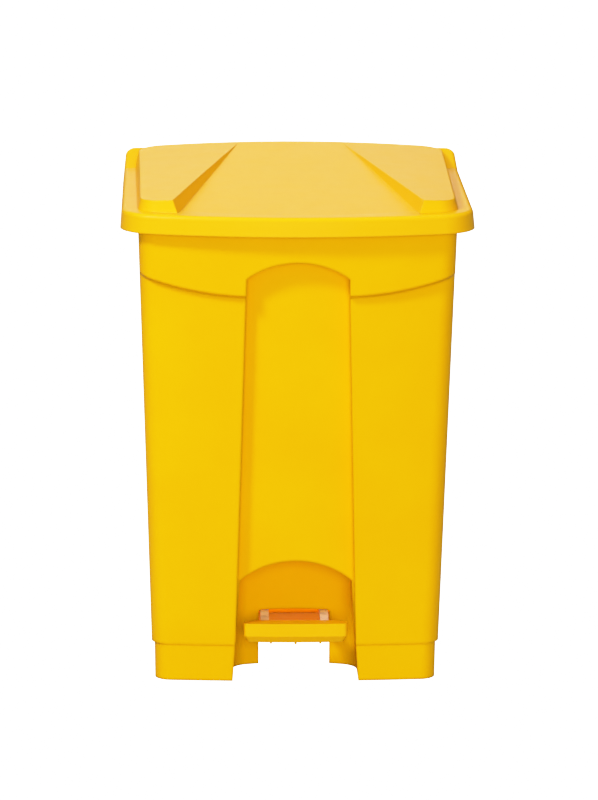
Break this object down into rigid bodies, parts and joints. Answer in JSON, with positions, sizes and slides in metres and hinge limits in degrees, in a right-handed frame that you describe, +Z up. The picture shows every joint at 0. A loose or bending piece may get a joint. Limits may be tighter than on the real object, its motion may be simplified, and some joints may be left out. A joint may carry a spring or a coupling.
{
  "type": "pedal bin",
  "caption": "Tall tapered plastic waste bin with a front foot pedal in an arched niche that lifts a hinged overhanging lid through a rod linkage at the back.",
  "frame": {"origin": "on the floor, under the centre of the bin's overall footprint", "axes": "+X to the bin's right side, seen from a user facing the pedal from the front, +Y towards the back hinge, +Z up"},
  "size_m": [0.4168, 0.398, 0.599],
  "materials": {
    "body_plastic": "satin moulded polypropylene, fine grain",
    "lid_plastic": "satin moulded polypropylene, smoother than the body",
    "tread_plastic": "satin moulded polypropylene",
    "rubber": "matt black rubber",
    "bright_steel": "bright drawn steel",
    "spring_steel": "blued spring steel",
    "zinc_wire": "galvanised drawn wire",
    "zinc_sheet": "galvanised pressed sheet",
    "screw_steel": "zinc-plated screws",
    "nylon": "natural white nylon"
  },
  "bodies": {
    "bin": {"outer_body": "body_plastic", "lid_buffers": "rubber", "hinge_pins": "bright_steel", "hinge_clips": "spring_steel", "pedal_axle": "bright_steel", "axle_clips": "spring_steel", "pedal_stops": "rubber", "rod_guide_lower": "nylon", "rod_guide_upper": "nylon", "guide_screws": "screw_steel"},
    "lid": {"lid_shell": "lid_plastic", "crank_bracket": "zinc_sheet", "crank_screws": "screw_steel"},
    "rod": {"push_rod": "zinc_wire", "rod_foot": "nylon", "rod_clip": "spring_steel"},
    "pedal": {"pedal_tread": "tread_plastic", "pedal_arm_left": "zinc_sheet", "pedal_arm_right": "zinc_sheet", "arm_bushes": "nylon", "crossbar": "bright_steel", "crossbar_clips": "spring_steel", "tread_screws": "screw_steel"}
  },
  "joints": [
    {"name": "lid_hinge", "type": "hinge", "parent": "bin", "child": "lid", "pos_m": [0, 0.188, 0.556], "axis": [-1, 0, 0], "range_deg": [0, 75]},
    {"name": "pedal_hinge", "type": "hinge", "parent": "bin", "child": "pedal", "pos_m": [0, 0.012, 0.06], "axis": [1, 0, 0], "range_deg": [0, 13.97]},
    {"name": "rod_slide", "type": "slide", "parent": "bin", "child": "rod", "axis": [0, 0, 1], "range_m": [0, 0.03284]}
  ],
  "couplings": [
    {"joint": "pedal_hinge", "follows": "lid_hinge", "ratio": 0.18627},
    {"joint": "rod_slide", "follows": "lid_hinge", "m_per_rad": 0.025087}
  ]
}
